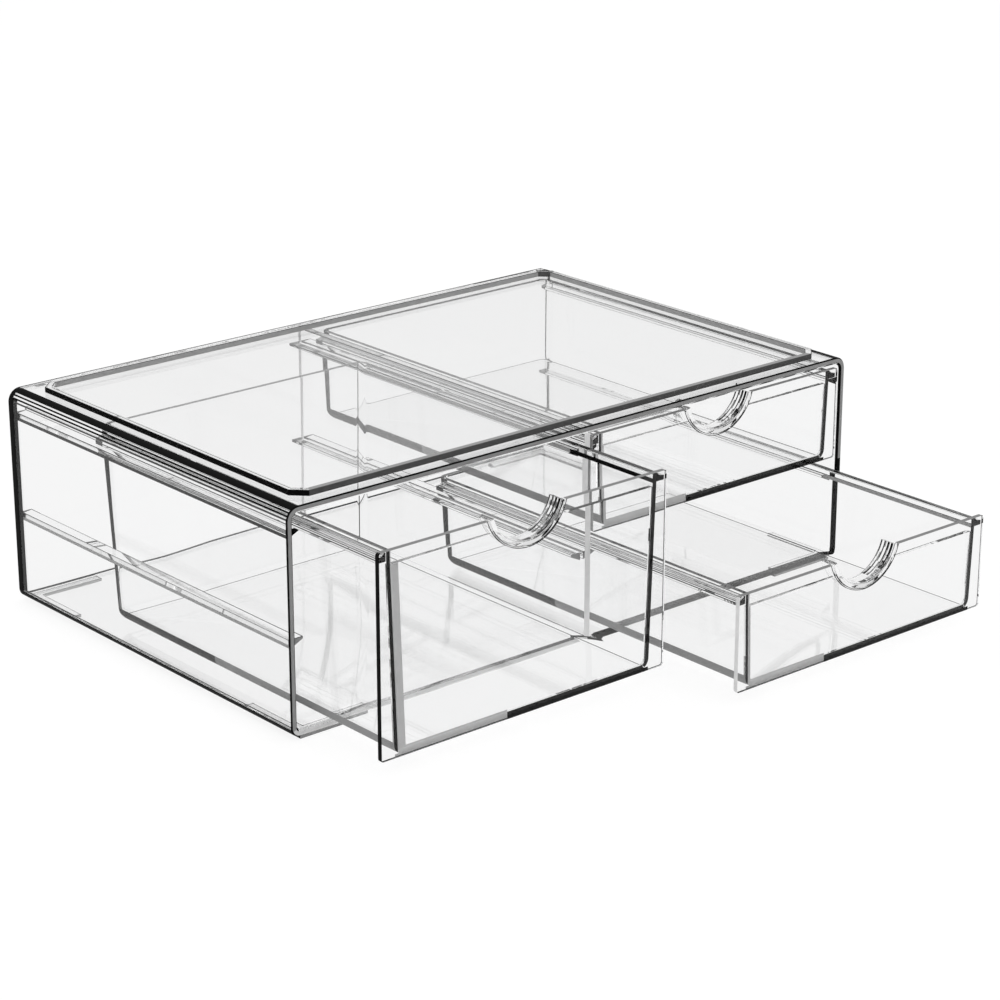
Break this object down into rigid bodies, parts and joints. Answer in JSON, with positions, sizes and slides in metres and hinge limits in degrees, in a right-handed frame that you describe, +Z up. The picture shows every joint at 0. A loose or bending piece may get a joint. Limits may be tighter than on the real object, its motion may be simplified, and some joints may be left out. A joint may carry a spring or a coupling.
{
  "type": "clear drawer organizer",
  "caption": "Low clear plastic box with a deep pull-out drawer beside shallow ones set one above the other, scooped finger pulls and a stacking ridge on top.",
  "frame": {"origin": "on the table plane that the feet stand on, under the middle of the whole object as it stands with its drawers as pictured", "axes": "+Z up; the drawer fronts face -Y and the drawers pull out along -Y; +X to the right as seen from the front, along the longest side"},
  "size_m": [0.318, 0.295, 0.1026],
  "materials": {
    "casing_clear": "clear polished acrylic sheet, water-white, with bright polished edges",
    "ridge_clear": "clear polished acrylic strip, grey where it is seen end on",
    "foot_clear": "clear polished acrylic, lightly rubbed underneath",
    "runner_clear": "clear polished acrylic with fine rub marks along the top",
    "tub_clear": "clear moulded plastic, glossy, slightly wavy",
    "front_clear": "clear polished acrylic plate",
    "pull_clear": "clear polished acrylic with bright and dark streaks where it bends light",
    "rail_clear": "clear moulded plastic with fine rub marks underneath"
  },
  "bodies": {
    "casing": {"casing_sleeve": "casing_clear", "back_panel": "casing_clear", "partition": "casing_clear", "stacking_ridge": "ridge_clear", "foot_front_left": "foot_clear", "foot_front_right": "foot_clear", "foot_back_left": "foot_clear", "foot_back_right": "foot_clear", "runner_left_wall_upper": "runner_clear", "runner_left_wall_lower": "runner_clear", "runner_partition_left_upper": "runner_clear", "runner_partition_left_lower": "runner_clear", "runner_partition_right_upper": "runner_clear", "runner_partition_right_lower": "runner_clear", "runner_right_wall_upper": "runner_clear", "runner_right_wall_lower": "runner_clear"},
    "deep_drawer": {"deep_drawer_tub": "tub_clear", "deep_drawer_front": "front_clear", "deep_drawer_pull": "pull_clear", "deep_drawer_rail_left": "rail_clear", "deep_drawer_rail_right": "rail_clear"},
    "lower_drawer": {"lower_drawer_tub": "tub_clear", "lower_drawer_front": "front_clear", "lower_drawer_pull": "pull_clear", "lower_drawer_rail_left": "rail_clear", "lower_drawer_rail_right": "rail_clear"},
    "upper_drawer": {"upper_drawer_tub": "tub_clear", "upper_drawer_front": "front_clear", "upper_drawer_pull": "pull_clear", "upper_drawer_rail_left": "rail_clear", "upper_drawer_rail_right": "rail_clear"}
  },
  "joints": [
    {"name": "deep_drawer_slide", "type": "slide", "parent": "casing", "child": "deep_drawer", "axis": [0, -1, 0], "range_m": [-0.052, 0.098]},
    {"name": "lower_drawer_slide", "type": "slide", "parent": "casing", "child": "lower_drawer", "axis": [0, -1, 0], "range_m": [-0.09, 0.06]},
    {"name": "upper_drawer_slide", "type": "slide", "parent": "casing", "child": "upper_drawer", "axis": [0, -1, 0], "range_m": [0, 0.15]}
  ]
}
